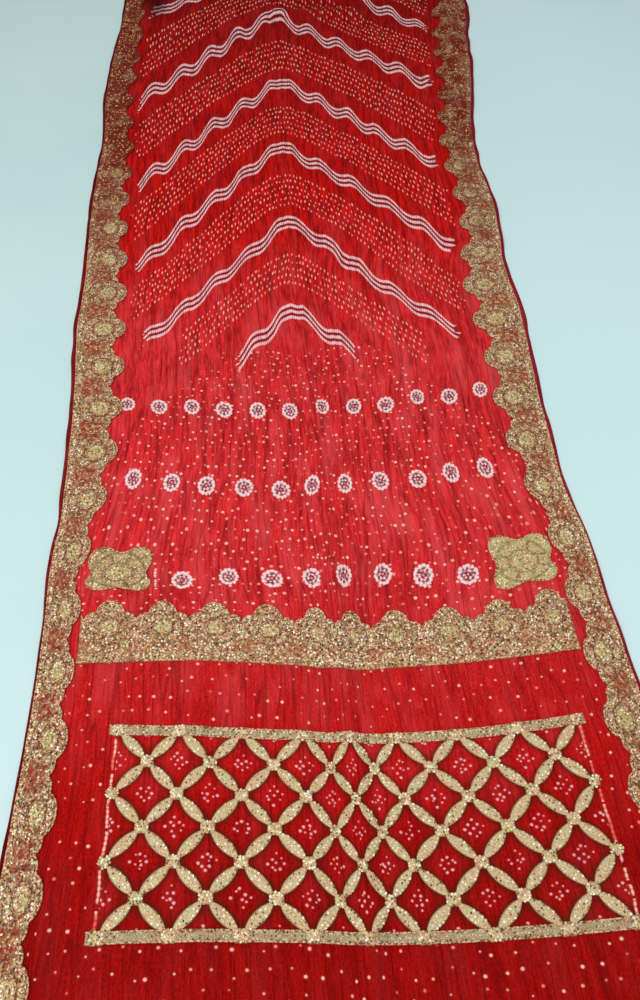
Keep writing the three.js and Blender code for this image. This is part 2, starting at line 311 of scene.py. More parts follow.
class Finish:
    # a material with one Principled shader, whose colour is laid on in coats of its tints
    def __init__(self, name, tints, **constants):
        self.material = bpy.data.materials.new(name)
        self.material.use_nodes = True
        self.tree = self.material.node_tree
        self.tree.nodes.clear()
        self.shader = self.tree.nodes.new("ShaderNodeBsdfPrincipled")
        out = self.tree.nodes.new("ShaderNodeOutputMaterial")
        self.tree.links.new(self.shader.outputs[0], out.inputs[0])
        self.tints = {key: rgb(*value) for key, value in tints.items()}
        for key, value in constants.items():
            self.shader.inputs[key.replace("_", " ")].default_value = value

    def node(self, kind, settings=None, sockets=None, out=0):
        made = self.tree.nodes.new(kind)
        for key, value in (settings or {}).items():
            if key == "stops":
                ramp = made.color_ramp
                while len(ramp.elements) < len(value):
                    ramp.elements.new(0.5)
                for element, (position, colour) in zip(ramp.elements, value):
                    element.position = position
                    element.color = colour
            else:
                setattr(made, key, value)
        for key, value in (sockets or {}).items():
            if isinstance(value, Wire):
                self.tree.links.new(value.socket, made.inputs[key])
            else:
                made.inputs[key].default_value = value
        return Wire(self.tree, made.outputs[out])

    def mix(self, factor, first, second):
        # between two colours, each a tint's name or a wire
        kinds = {"data_type": "RGBA", "clamp_factor": True}
        first, second = [tint if isinstance(tint, Wire) else self.tints[tint] for tint in (first, second)]
        return self.node("ShaderNodeMix", kinds, {0: factor, 6: first, 7: second}, out=2)

    def coat(self, factor, tint):
        # a tint over the colour so far
        self.colour = self.mix(factor, self.colour, tint)

    def shade(self, factor):
        # the colour so far made lighter or darker
        grey = self.vector(factor, factor, factor)
        multiply = {"operation": "MULTIPLY"}
        self.colour = self.node("ShaderNodeVectorMath", multiply, {0: self.colour, 1: grey})

    def vector(self, x, y, z=0.0):
        return self.node("ShaderNodeCombineXYZ", None, {0: x, 1: y, 2: z})

    def split(self, where):
        parts = self.tree.nodes.new("ShaderNodeSeparateXYZ")
        self.tree.links.new(where.socket, parts.inputs[0])
        return [Wire(self.tree, parts.outputs[k]) for k in range(3)]

    def flat(self):
        # the place on the flat cloth, in millimetres
        u, v, _ = self.split(self.node("ShaderNodeUVMap", {"uv_map": "UVMap"}))
        return u * 1000, v * 1000

    def place(self):
        # the place on the table, in metres
        return self.split(self.node("ShaderNodeTexCoord", None, None, out="Object"))[:2]

    def value(self, name):
        return self.node("ShaderNodeAttribute", {"attribute_name": name}, None, out="Fac")

    def noise(self, x, y, detail=2.0, rough=0.5):
        spread = {"noise_dimensions": "2D"}
        sockets = {"Vector": self.vector(x, y), "Scale": 1.0, "Detail": detail, "Roughness": rough}
        return self.node("ShaderNodeTexNoise", spread, sockets)

    def chance(self, x, y, seed):
        # a random value from 0 to 1 for each whole cell
        return self.node("ShaderNodeTexWhiteNoise", {"noise_dimensions": "3D"},
                         {"Vector": self.vector(x, y, seed)})

    def link(self, value, socket):
        self.tree.links.new(value.socket, self.shader.inputs[socket])

    def finished(self, height=None, distance=0.001, strength=1.0):
        # the colour linked, with a bump from height
        self.link(self.colour, "Base Color")
        if height is not None:
            sockets = {"Height": height, "Distance": distance, "Strength": strength}
            self.link(self.node("ShaderNodeBump", None, sockets), "Normal")
        return self.material


# Dyed cloth
dye = {
    "fieldRed": (206, 40, 43), "pureRed": (199, 16, 13), "deepRed": (98, 3, 0),
    "creaseRed": (112, 6, 10), "rosyRed": (232, 86, 90),
    "tiedWhite": (244, 214, 214), "tiedCream": (246, 190, 168), "faintDot": (228, 100, 88),
    "groupPink": (238, 164, 176), "washedPink": (208, 118, 136), "bleedRed": (218, 62, 60),
    "speck": (92, 20, 30), "leafRim": (78, 24, 8), "crushed": (44, 4, 10),
    "selvedgeLeft": (58, 10, 14), "selvedgeRight": (112, 22, 44),
}
# where painted shade deepens the dye along the cloth, towards both ends where the light falls off: from,
# to, how much
endShadeDeepening = [(-100, 560, 0.3), (560, 1000, 0.2), (1000, 1220, 0.2), (-640, -960, 0.25),
             (-960, -1090, 0.33)]
# across and along size of each kind of crinkle in the dye
crinkles = {"streak": (7, 76), "fine": (2.6, 24), "broad": (34, 150), "ridge": (21, 330),
            "grain": (2, 4)}
chevrons = {
    "apex": -14, "apexFar": -24, "firstLine": -23, "lead": 12,
    "pitch": 277.7, "farFrom": 810, "farPitch": 345,
    "slopeLeft": 1.2, "slopeRight": 1.15, "domeRadius": 8,
    "stairPitch": 67, "stairFrom": 38, "stairHeight": 12.5, "stairShift": 14,
    "lineGap": 17, "beadPitch": 5.8, "beadRadius": 2.8,
    "rowFirst": 126, "rowGap": 21, "rowDot": 12.6, "rowSlope": 1.2, "rowDome": 40,
    "armReach": 334, "secondReach": 312, "firstReach": 116, "ragged": 26,
}
rosettes = {
    "pitch": 61.2, "size": 15.5, "wide": 12.2, "tall": 16.8,
    "rings": {"outer": (13, 0.84), "inner": (6, 0.43), "gap": (8, 0.63), "middleGap": (3, 0.2)},
    "rows": [
        {"row": -301, "from": 3000, "until": -385, "first": -343, "reach": 350},
        {"row": -471, "from": -385, "until": -554, "first": -311, "reach": 318},
        {"row": -643, "from": -554, "until": -2000, "first": -209, "reach": 226},
    ],
}
scatter = {
    "close": {"stepP": 13.5, "stepQ": 17.5, "seed": 2.0, "size": 2.1},
    "sparse": {"stepP": 20, "stepQ": 24, "seed": 6.0, "size": 1.6},
}
panel = {
    "near": -1150, "far": -901, "middle": 13, "half": 302, "bays": 8, "rows": 6,
    "bar": 14, "barEnd": 11, "nearShade": 0.56, "farShade": 0.4,
    "leafLong": 46, "leafWide": 15, "knot": 10.8, "sideKnot": 8.0, "dotSpacing": 0.125,
}
panelBay = 2 * panel["half"] / panel["bays"]
panelRise = (panel["far"] - panel["near"]) / panel["rows"]

# where the corner motifs' middles lie, across and row, and how pale each is
corners = {"left": (-302, -627, 0.3), "right": (302, -634, 0.55)}


def dyedFinish():
    finish = Finish("crinkledDyedCotton", dye, Roughness=0.92, Specular_IOR_Level=0.06)
    noise, chance = finish.noise, finish.chance
    p, q = finish.flat()

    def crinkle(name, *grain):
        wide, long = crinkles[name]
        return noise(p / wide, q / long, *grain)

    # the dye is rosy in the rosette field and purer in the chevrons; painted shade deepens it towards
    # both ends
    field = q.ramp(-1000, -640) * q.ramp(260, -220)
    finish.colour = finish.mix(field, "pureRed", "fieldRed")
    finish.coat(sum(q.ramp(start, end) * share for start, end, share in endShadeDeepening), "deepRed")

    # long crinkles: streaks of lighter and deeper dye, with painted shade in their valleys and painted
    # sheen on their ridges
    streak = crinkle("streak", 2.0, 0.6)
    fine = crinkle("fine", 1.0, 0.6)
    broad = crinkle("broad", 2.0, 0.6)
    ridge = abs(crinkle("ridge", 1.0, 0.55) - 0.5)
    grain = crinkle("grain", 0.0)
    smoother = q.ramp(-560, -740)
    crinkleShadeAndSheen = (streak.ramp(0.36, 0.64) - 0.5) * (0.62 - field * 0.14 - smoother * 0.36)
    crinkleShadeAndSheen = crinkleShadeAndSheen + (fine.ramp(0.34, 0.66) - 0.5) * (0.28 - smoother * 0.12)
    crinkleShadeAndSheen = crinkleShadeAndSheen + (grain.ramp(0.25, 0.75) - 0.5) * (0.3 + smoother * 0.12) + 0.98
    finish.shade(crinkleShadeAndSheen)
    # rosy patches of painted sheen, most in the rosette field
    finish.coat(broad.ramp(0.46, 0.72) * (0.06 + field * 0.38), "rosyRed")
    finish.coat(fine.ramp(0.56, 0.8) * (0.04 + field * 0.34), "rosyRed")
    # painted shade darkens the dye along the crease lines
    shadedCrease = 1 - ridge.ramp(0.0, 0.035)
    finish.coat(shadedCrease * 0.5, "creaseRed")

    # chevrons: three beaded lines, then rows of dots
    offApex = p - q.ramp(780, 1130) * chevrons["apexFar"] - chevrons["apex"]
    aside = abs(offApex)
    onLeft = offApex < 0
    pitch, gap, rowGap = chevrons["pitch"], chevrons["lineGap"], chevrons["rowGap"]

    def dome(radius):
        return (aside * aside + radius * radius).root() - radius

    def below(s):
        # distance below the next chevron's top line, and which chevron it is
        even = s.low(chevrons["farFrom"])
        even = even + (s - chevrons["farFrom"]).high(0) * (pitch / chevrons["farPitch"])
        index = even - chevrons["firstLine"] - chevrons["lead"]
        return pitch - (index % pitch) - chevrons["lead"], (index / pitch).floor(), index / pitch

    slope = onLeft * (chevrons["slopeLeft"] - chevrons["slopeRight"]) + chevrons["slopeRight"]
    rowS = q + slope * dome(chevrons["domeRadius"])
    whole = (below(rowS)[2] + 0.5).floor()
    shift = (chance(whole, onLeft, 7.0) - 0.5) * chevrons["stairShift"]
    height = (chance(whole, onLeft, 9.0) * 0.5 + 0.75) * chevrons["stairHeight"]
    height = height * (q.ramp(100, 700) * 0.3 + 1) * aside.ramp(0, 24)
    stair = ((aside - chevrons["stairFrom"] + shift) * (turn / chevrons["stairPitch"])).sin() * height
    lineW, lineIndex, _ = below(rowS + stair)
    lean = 1 / math.hypot(1, chevrons["rowSlope"])
    arc = aside / lean
    nth = (lineW / gap).round().clamp(0, 2)
    offLine = (lineW - nth * gap) * lean
    bead = ((arc / chevrons["beadPitch"] + nth * 0.4).fract() - 0.5) * chevrons["beadPitch"]
    firstOne = lineIndex < -0.5
    secondOne = lineIndex.inside(-0.5, 0.5)
    ragged = (noise(q / 9, nth * 3.7, 0.0) - 0.5) * chevrons["ragged"]
    reach = chevrons["armReach"] - firstOne * (chevrons["armReach"] - chevrons["firstReach"])
    reach = reach - secondOne * (chevrons["armReach"] - chevrons["secondReach"]) + ragged
    inArms = (aside * firstOne + abs(p) * (1 - firstOne) < reach) * (lineIndex > -1.5)
    lines = within(length(offLine, bead) - chevrons["beadRadius"], inArms)

    rowW, rowIndex, _ = below(q + chevrons["rowSlope"] * dome(chevrons["rowDome"]))
    rowW = rowW - chevrons["rowFirst"]
    lowest = rowIndex.inside(-0.5, 0.5)
    nthRow = (rowW / rowGap).round().clamp(0, 5)
    seedRow = nthRow + rowIndex * 11
    along = arc / chevrons["rowDot"] + (seedRow * 0.618).fract()
    cell = along.floor() + onLeft * 200
    drift, sway = chance(cell, seedRow, 3.0), chance(cell, seedRow, 8.0)
    offRow = (rowW - nthRow * rowGap) * lean + (drift - 0.5) * 5
    offDot = (along.fract() - 0.5) * chevrons["rowDot"] + (sway - 0.5) * 6
    rowReach = chevrons["armReach"] + 4 - lowest * 98 + ragged
    inRows = (abs(p) < rowReach) * (rowIndex > -0.5) * (rowW > -11)
    inRows = inRows * (rowW < rowGap * 5.5 - lowest * rowGap)
    dots = within(length(offRow * 0.75, offDot) - 1.2 - drift * 0.9, inRows)

    # rosettes: rings of tied dots
    zone, first, edge = q * 0, q * 0, q * 0
    for row in rosettes["rows"]:
        here = q.inside(row["until"], row["from"])
        zone = zone + here * row["row"]
        first = first + here * row["first"]
        edge = edge + here * row["reach"]
    cellP = ((p - first) / rosettes["pitch"]).round()
    centre = first + cellP * rosettes["pitch"]
    shake, shake2 = chance(cellP, zone, 1.0), chance(cellP, zone, 5.0)
    ex = (p - centre + (shake2 - 0.5) * 6) / (rosettes["wide"] + shake * 3)
    ey = (q - zone + (shake - 0.5) * 12) / (rosettes["tall"] + shake2 * 2.4)
    inRosettes = (abs(centre) < edge + 4) * q.inside(-720, -200)
    radius = length(ex, ey)
    angle = ey.math("ARCTAN2", ex)

    def ring(name):
        count, at = rosettes["rings"][name]
        step = turn / count
        off = (angle / step).round() * step - angle
        return length(radius * off.cos() - at, radius * off.sin()) * rosettes["size"]

    gaps = ring("gap").low(ring("middleGap"))
    uneven = noise(p / 4, q / 4, 0.0)
    rosette = (ring("outer") - 1.7 - uneven * 3.4).low(ring("inner") - 0.5 - uneven * 3.2)
    rosette = within(rosette.low(radius * rosettes["size"] - 1.7), inRosettes)

    # scattered dots, close in the rosette field and sparse in the plain strips
    def scattered(stepP, stepQ, seed, size):
        cq = q / stepQ
        cp = p / stepP + seed * 0.31 + (cq.floor() * 0.618).fract()
        a, b = chance(cp.floor(), cq.floor(), seed), chance(cp.floor(), cq.floor(), seed + 4)
        dx = (cp.fract() - 0.5 + (a - 0.5) * 0.68) * stepP
        dy = (cq.fract() - 0.5 + (b - 0.5) * 0.72) * stepQ
        return length(dx, dy) - size * (0.45 + a * 0.75), b

    close, closeShade = scattered(**scatter["close"])
    sparse, sparseShade = scattered(**scatter["sparse"])
    offPanel = abs(p - panel["middle"]) - panel["half"]
    inField = q.inside(-712, -150) * (rowS < 12)
    besidePanel = (q > panel["far"] + 8).high(q < panel["near"] - 8).high(offPanel > 14)
    close = within(close, inField * (closeShade > 0.16))
    sparse = within(sparse, (q < -800) * besidePanel * (sparseShade > 0.12))

    # a group of tied dots in every opening of the panel
    bayP = (p - (panel["middle"] - panel["half"])) / panelBay
    bayQ = (q - panel["near"]) / (2 * panelRise)
    fa, fb = bayP + bayQ, bayP - bayQ
    ga, gb = fa.fract() - 0.5, fb.fract() - 0.5
    spacing = panel["dotSpacing"]
    sa, sb = (ga / spacing).round(), (gb / spacing).round()
    key = sa * 3 + sb + fa.floor() * 17
    ja, jb = chance(key, fb.floor(), 11.0), chance(key, fb.floor(), 12.0)
    la = ga - sa * spacing + (ja - 0.5) * 0.08
    lb = gb - sb * spacing + (jb - 0.5) * 0.08
    alongPanel = q.inside(panel["near"], panel["far"])
    inPanel = alongPanel * (offPanel < 0)
    inGroup = inPanel * (abs(sa) < 1.5) * (abs(sb) < 1.5) * (jb > 0.03)
    group = within(length((la + lb) * (panelBay / 2), (la - lb) * panelRise) - 0.8 - ja, inGroup)

    # thin tied lines down the panel's sides and beside the corner motifs, and a small V
    dash = ((q / 6.4).fract() - 0.5) * 6.4
    wave = (noise(q / 34, p / 400, 1.0) - 0.5) * 5
    sideLine = within(length(offPanel - 3 + wave, dash * 0.46) - 1.35,
                      alongPanel * (noise(q / 9, p / 90, 1.0) > 0.33))
    beside = within(length(abs(p - 7) - 257 + wave, dash * 0.6) - 1.7,
                    q.inside(-664, -614) * (noise(q / 8, p / 60, 1.0) > 0.4))
    fromMiddle = abs(p - 1)
    vee = length(q + 617 - fromMiddle * 0.5, ((fromMiddle / 7).fract() - 0.5) * 7) - 1.6
    vee = within(vee, fromMiddle < 21)

    whites = lines.low(rosette).low(beside)
    creams = dots.low(close).low(sparse).low(sideLine).low(vee).low(group)
    # the tied whites dimmed by the painted crinkle shade outside the rosettes
    whitesInCrinkleShade = whites.ramp(0.7, -0.5) * (streak.ramp(0.34, 0.58) * 0.36 + 0.64).high(inRosettes)
    elsewhere = (1 - inField) * (1 - inRows) * sparseShade.ramp(0.1, 0.6)
    bright = (closeShade.ramp(0.25, 0.7) * inField).high(elsewhere).high(inRows * sway.ramp(-0.2, 0.6))
    creamColour = finish.mix(inGroup * 0.75, finish.mix(bright, "faintDot", "tiedCream"), "groupPink")
    finish.coat(radius.ramp(1.1, 0.9) * inRosettes * 0.55, "washedPink")
    finish.coat(whites.low(creams).ramp(2.4, 0.0) * 0.16, "bleedRed")
    finish.coat(whitesInCrinkleShade, "tiedWhite")
    finish.coat(creams.ramp(0.7, -0.5), creamColour)

    # dark specks between the beads and the lines, and inside the rosettes
    specks = (abs(bead) - abs(offLine) * 0.4).ramp(1.7, 2.6) * (abs(offLine) < 3.2) * inArms * 0.75
    dyedThrough = uneven.ramp(0.46, 0.38) * (radius < 0.74)
    specks = specks.high(gaps.ramp(3.1, 1.5).high(dyedThrough) * inRosettes)
    between = abs(offLine).ramp(gap * lean * 0.3, gap * lean * 0.42) * lineW.inside(0, gap * 2)
    finish.coat(between * inArms * 0.8, "speck")
    finish.coat(specks * 0.7, "speck")

    # painted shadow beside the panel's leaves and in the folded far corner, and painted contact shadow
    # darkening the selvedges
    finish.coat(abs(ga).high(abs(gb)).ramp(0.26, 0.37) * inPanel * 0.6, "leafRim")
    # painted shadow of the fold in the far corner beside the left lace
    finish.coat(q.ramp(1080, 1190) * abs(p + 330).ramp(44, 12) * 0.75, "crushed")
    # the selvedge dye darkened with painted contact shadow, darkest on the left
    finish.coat(abs(p).ramp(440, 443) * 0.75, finish.mix(p > 0, "selvedgeLeft", "selvedgeRight"))
    return finish.finished(streak + fine * 0.5 - shadedCrease * 0.35 + grain * 0.12, 0.0022, 0.8)


def gridFaces(index):
    # four-sided faces of a grid of points
    around = [index[:-1, :-1], index[:-1, 1:], index[1:, 1:], index[1:, :-1]]
    return np.stack(around, axis=-1).reshape(-1, 4)


def gridWall(index, lower):
    # faces that close the gap between a grid's edge and the points under it
    far, right = index.shape[0] - 1, index.shape[1] - 1
    loop = ([(0, k) for k in range(right)] + [(k, right) for k in range(far)]
            + [(far, k) for k in range(right, 0, -1)] + [(k, 0) for k in range(far, 0, -1)])
    return [[int(lower[a]), int(lower[b]), int(index[b]), int(index[a])]
            for a, b in zip(loop, loop[1:] + loop[:1])]


# Heights over the underside, in millimetres: calm under the gold work, crinkled elsewhere
relief = {
    "calm": 1.0, "calmHills": 0.3, "crinkled": 1.1, "ridge": 1.9, "fine": 1.0, "wander": 14,
    "hem": 0.9, "selvedge": 0.7, "selvedgeWide": 7, "frill": 1.6, "frillWide": 40, "edge": 1.0,
}


def clothSheet():
    half, reach = cloth["halfWidth"], cloth["halfLength"]
    wide, deep, coarse = cloth["columns"], cloth["rows"], cloth["coarse"]
    p, y = np.meshgrid(np.linspace(-half, half, wide + 1), np.linspace(-reach, reach, deep + 1))
    aside, row = np.abs(p), y - lead(p, y)
    # gold work lies on smoother cloth, and keeps clear of its crinkles
    calm = smooth(338, 352, aside) * (1 - smooth(438, 446, aside))
    calm = np.maximum(calm, smooth(-812, -800, row) * (1 - smooth(-712, -700, row)) * (aside < 352))
    inPanel = smooth(panel["near"] - 22, panel["near"] - 10, row)
    inPanel = inPanel * (1 - smooth(panel["far"] + 10, panel["far"] + 22, row))
    calm = np.maximum(calm, inPanel * (np.abs(p - panel["middle"]) < panel["half"] + 17) * 0.85)
    for across, along, _ in corners.values():
        calm = np.maximum(calm, 1 - smooth(56, 70, np.hypot(p - across, row - along)))
    wander = relief["wander"] * valueNoise(p / 90 + 40, y / 200 + 40, 5)
    long1 = valueNoise((p + wander) / 15 + 60, y / 120 + 20, 11)
    long2 = valueNoise((p - wander) / 8 + 90, y / 60 + 20, 12)
    crinkle = relief["ridge"] * (1 - np.abs(2 * long1 - 1)) ** 1.5 + relief["fine"] * long2
    hills = relief["calmHills"] * valueNoise(p / 30 + 9, y / 40 + 9, 13)
    raised = (relief["calm"] + hills) * calm + (relief["crinkled"] + crinkle) * (1 - calm)
    hemming = smooth(reach - cloth["hem"] - 2, reach - cloth["hem"], np.abs(y))
    hemming = hemming * (1 - smooth(reach - 3, reach, np.abs(y)))
    inSelvedge = np.clip((aside - half) / relief["selvedgeWide"] + 1, 0, 1)
    raised = raised + relief["hem"] * hemming + relief["selvedge"] * np.sin(math.pi * inSelvedge)
    rim = smooth(half - 6, half, aside)
    raised = np.where((rim > 0.99) | (np.abs(y) > reach - 0.5), relief["edge"], raised)
    top = onTable(p, y, raised)
    frill = relief["frill"] * (valueNoise(y / 46 + 7, p * 0 + 3, 21) - 0.5) / 1000
    top[..., 0] += frill * smooth(half - relief["frillWide"], half, aside) * 2
    index = np.arange(p.size).reshape(p.shape)
    faces = gridFaces(index).tolist()
    # the underside is coarse inside, and shares the edge's fine points
    edgePoint = (aside > half - 0.01) | (np.abs(y) > reach - 0.01)
    used = edgePoint.copy()
    used[::coarse, ::coarse] = True
    lower = -np.ones_like(index)
    lower[used] = index.size + np.arange(used.sum())
    under = top.copy()
    under[..., 2] = np.maximum(underside(sideways(p, y), y) - np.where(edgePoint, 0.0, 1.0), 0) / 1000
    points = np.concatenate([top.reshape(-1, 3), under[used]])
    uv = np.stack([p, row], axis=-1) / 1000
    for r in range(0, deep, coarse):
        for c in range(0, wide, coarse):
            far, right = r + coarse, c + coarse
            ring = [lower[r, k] for k in range(c, right)] if r == 0 else [lower[r, c]]
            ring += [lower[k, right] for k in range(r, far)] if right == wide else [lower[r, right]]
            ring += [lower[far, k] for k in range(right, c, -1)] if far == deep else [lower[far, right]]
            ring += [lower[k, c] for k in range(far, r, -1)] if c == 0 else [lower[far, c]]
            faces.append([int(k) for k in reversed(ring)])
    faces += gridWall(index, lower)
    return meshObject("dyedCloth", points, faces, np.concatenate([uv.reshape(-1, 2), uv[used]]))


sheet = clothSheet()
sheet.data.materials.append(dyedFinish())
print("cloth:", len(sheet.data.polygons), "faces")

# Gold work
gold = {
    "gap": 0.3, "sunk": 0.05, "selvedge": 8, "ground": 0.9,
    "pitch": 101, "flowerLeft": 37, "flowerRight": 7, "flowerDepth": 50,
    "borderFlower": 55, "borderStart": -800, "borderDepth": 100, "borderPitch": 70.2,
    "borderMiddle": 7, "cornerReach": 58, "cornerTall": 1.12,
    "bareLeft": 1.45, "bareRight": 0.95, "bareBorder": 0.6,
    "cordRadius": 1.2, "edgeThick": 1.15, "ringThick": 0.85, "petalThick": 0.75, "cordStep": 3.6,
    "cordLift": 1.6, "sequin": 2.0, "sequinStep": 4.3, "sequinFlat": 0.42, "sequinTilt": 0.5,
}
goldBase = cloth["solidThick"] + gold["gap"]
scallopLobes = [(0, 0.73, 0.27), (-0.33, 0.62, 0.17), (0.33, 0.62, 0.17)]


def scallop(share):
    away = share - np.round(share)
    depth = np.full_like(away, 0.55)
    for at, start, radius in scallopLobes:
        rise = np.sqrt(np.clip(radius ** 2 - (away - at) ** 2, 0, None))
        depth = np.where(rise > 0, np.maximum(depth, start + rise), depth)
    return depth


def bell(value, middle, width):
    # 1 at the middle, 0 from width away
    return np.clip(1 - ((value - middle) / width) ** 2, 0, 1)


def petals(angle):
    return np.abs(np.cos(4 * angle)) ** 0.6


def contour(r, angle):
    # dark lines round a flower's heart, round its petals and between them
    rings = np.maximum(1 - np.abs(r - 21.5) / 2.2, 1 - np.abs(r - 38.7) / 2.2)
    between = (1 - np.abs(np.cos(4 * angle)) / 0.4) * (np.abs(r - 30) < 8)
    return np.clip(np.maximum(rings, between), 0, 1)


# Each gold band is drawn flat: s runs along it, d is the depth from its straight edge.
# A flower of a band sits at s = 0 of its repeat.
def flowerRelief(s, d, size, centreD, bare):
    # height of the stitched filling, and how much of it is heart, rust or dark contour
    r = np.hypot(s, d - centreD) / size
    angle = np.arctan2(d - centreD, s)
    heart = bell(r, 0, 17)
    height = (gold["ground"] + 1.1 * heart ** 0.7 + 0.8 * petals(angle) * bell(r, 28, 9)
              + 0.5 * bell(r, 44, 8) * (d > 20) + 0.6 * bell(d, 7, 7))
    between = smooth(22, 38, np.abs(s) / size) * smooth(10, 18, d) * (1 - smooth(44, 66, d / size))
    rust = np.clip(np.clip(between + 0.55 * bell(r, 20, 4), 0, 1) * bare, 0, 1)
    return height, {"heart": heart, "rust": rust, "shade": contour(r, angle)}


def slab(name, blocks, lay, material):
    # closed layers over grids of flat places; a block is firsts, seconds, height and marks
    points, faces, flats, marks = [], [], [], {}
    start = 0
    for first, second, height, values in blocks:
        size = first.size
        index = start + np.arange(size).reshape(first.shape)
        local = gridFaces(index)
        faces += local.tolist() + (local[:, ::-1] + size).tolist()
        faces += gridWall(index, index + size)
        for lift in (height, 0 * height - gold["sunk"]):
            points.append(lay(first, second, goldBase + lift).reshape(-1, 3))
            flats.append(np.stack([first, second], axis=-1).reshape(-1, 2) / 1000)
            for key, value in values.items():
                marks.setdefault(key, []).append(value.ravel())
        start += 2 * size
    marks = {key: np.concatenate(column) for key, column in marks.items()}
    made = meshObject(name, np.concatenate(points), faces, np.concatenate(flats), marks, merge=1e-5)
    made.data.materials.append(material)
    return made


def nodeGroup(name, inputs):
    # an empty Geometry Nodes tree with a mesh in, a mesh out and named sizes
    tree = bpy.data.node_groups.new(name, "GeometryNodeTree")
    face = tree.interface
    face.new_socket("Geometry", in_out="OUTPUT", socket_type="NodeSocketGeometry")
    face.new_socket("Geometry", in_out="INPUT", socket_type="NodeSocketGeometry")
    for key, kind in inputs.items():
        face.new_socket(key, in_out="INPUT", socket_type="NodeSocket" + kind)
    return tree, tree.nodes.new("NodeGroupInput").outputs


def grow(tree, kind, sockets=None, **settings):
    # a node of a tree, with its settings and what feeds its sockets
    made = tree.nodes.new(kind)
    for key, value in settings.items():
        setattr(made, key, value)
    for key, value in (sockets or {}).items():
        if isinstance(value, bpy.types.NodeSocket):
            tree.links.new(value, made.inputs[key])
        else:
            made.inputs[key].default_value = value
    return made


def closeTree(tree, geometry, material):
    # the tree's end: real geometry with its material
    real = grow(tree, "GeometryNodeRealizeInstances", {0: geometry})
    painted = grow(tree, "GeometryNodeSetMaterial", {0: real.outputs[0], "Material": material})
    tree.links.new(painted.outputs[0], tree.nodes.new("NodeGroupOutput").inputs[0])
    return tree


def run(tree, source, name, inputs):
    # the tree's result on source as a plain mesh
    modifier = source.modifiers.new(name, "NODES")
    modifier.node_group = tree
    for item in tree.interface.items_tree:
        if item.in_out == "INPUT" and item.name in inputs:
            modifier[item.identifier] = inputs[item.name]
    depsgraph = bpy.context.evaluated_depsgraph_get()
    data = bpy.data.meshes.new_from_object(source.evaluated_get(depsgraph), depsgraph=depsgraph)
    source.modifiers.remove(modifier)
    bpy.data.objects.remove(source)
    data.name = name
    return addObject(name, data)


def cordTree():
    tree, given = nodeGroup("couchedCord", {"Radius": "Float", "Step": "Float", "Material": "Material"})
    curve = grow(tree, "GeometryNodeMeshToCurve", {0: given["Geometry"]})
    even = grow(tree, "GeometryNodeResampleCurve",
                {"Curve": curve.outputs[0], "Length": given["Step"]}, mode="LENGTH")
    thick = grow(tree, "GeometryNodeInputNamedAttribute", {"Name": "thick"}, data_type="FLOAT")
    sized = grow(tree, "GeometryNodeSetCurveRadius",
                 {"Curve": even.outputs[0], "Radius": thick.outputs[0]})
    circle = grow(tree, "GeometryNodeCurvePrimitiveCircle", {"Resolution": 5, "Radius": given["Radius"]})
    tube = grow(tree, "GeometryNodeCurveToMesh",
                {"Curve": sized.outputs[0], "Profile Curve": circle.outputs[0], "Fill Caps": True,
                 "Scale": thick.outputs[0]})
    rounded = grow(tree, "GeometryNodeSetShadeSmooth", {0: tube.outputs[0]})
    return closeTree(tree, rounded.outputs[0], given["Material"])


def sequinTree():
    sizes = {"Radius": "Float", "Flatness": "Float", "Tilt": "Float", "Seed": "Int",
             "Material": "Material"}
    tree, given = nodeGroup("sewnSequins", sizes)

    def random(kind, sockets):
        made = grow(tree, "FunctionNodeRandomValue", {**sockets, "Seed": given["Seed"]}, data_type=kind)
        return made.outputs[0 if kind == "FLOAT_VECTOR" else 1]

    def vector(x, y, z):
        return grow(tree, "ShaderNodeCombineXYZ", {0: x, 1: y, 2: z}).outputs[0]

    points = grow(tree, "GeometryNodeMeshToPoints", {0: given["Geometry"]})
    kept = grow(tree, "GeometryNodeStoreNamedAttribute",
                {0: points.outputs[0], "Name": "chance", "Value": random("FLOAT", {2: 0.0, 3: 1.0})},
                data_type="FLOAT", domain="POINT")
    lens = grow(tree, "GeometryNodeMeshUVSphere",
                {"Segments": 5, "Rings": 2, "Radius": given["Radius"]})
    flat = grow(tree, "GeometryNodeTransform",
                {0: lens.outputs[0], "Scale": vector(1.0, 1.0, given["Flatness"])})
    tilt = given["Tilt"]
    back = grow(tree, "ShaderNodeMath", {0: tilt, 1: -1.0}, operation="MULTIPLY").outputs[0]
    spin = random("FLOAT_VECTOR", {0: vector(back, back, -3.0), 1: vector(tilt, tilt, 3.0)})
    many = grow(tree, "GeometryNodeInstanceOnPoints",
                {"Points": kept.outputs[0], "Instance": flat.outputs[0], "Rotation": spin,
                 "Scale": random("FLOAT", {2: 0.8, 3: 1.15})})
    return closeTree(tree, many.outputs[0], given["Material"])


thread = {
    "dark": (98, 56, 36), "mid": (206, 154, 104), "light": (252, 214, 164),
    "heart": (212, 204, 134), "sequinHeart": (210, 210, 142), "rust": (158, 46, 32),
    "contour": (88, 46, 30), "worn": (120, 32, 14), "wornGlint": (232, 168, 92),
    "cord": (232, 194, 152), "cordShade": (128, 74, 48),
}
# sequins by chance: where each colour begins; the palest are painted glints and the darkest painted shade
sequinGlintAndShadeStops = [
    (0.0, (38, 18, 10)), (0.19, (84, 42, 28)), (0.22, (210, 152, 104)), (0.42, (252, 214, 162)),
    (0.5, (255, 244, 208)), (0.8, (255, 252, 234)), (0.83, (246, 156, 128)), (0.92, (196, 220, 148)),
]


def farEndPaintedShade(finish, x, y):
    # painted shade: the lace is darker and redder towards the far end, most on the left, where the light
    # falls off; patches stay bright
    patch = finish.noise(x * 24, y * 24, 2.0, 0.6).ramp(0.4, 0.62)
    return (y.ramp(-0.1, 0.58) * ((x < 0) * 0.2 + 1) - patch * 0.48).clamp()


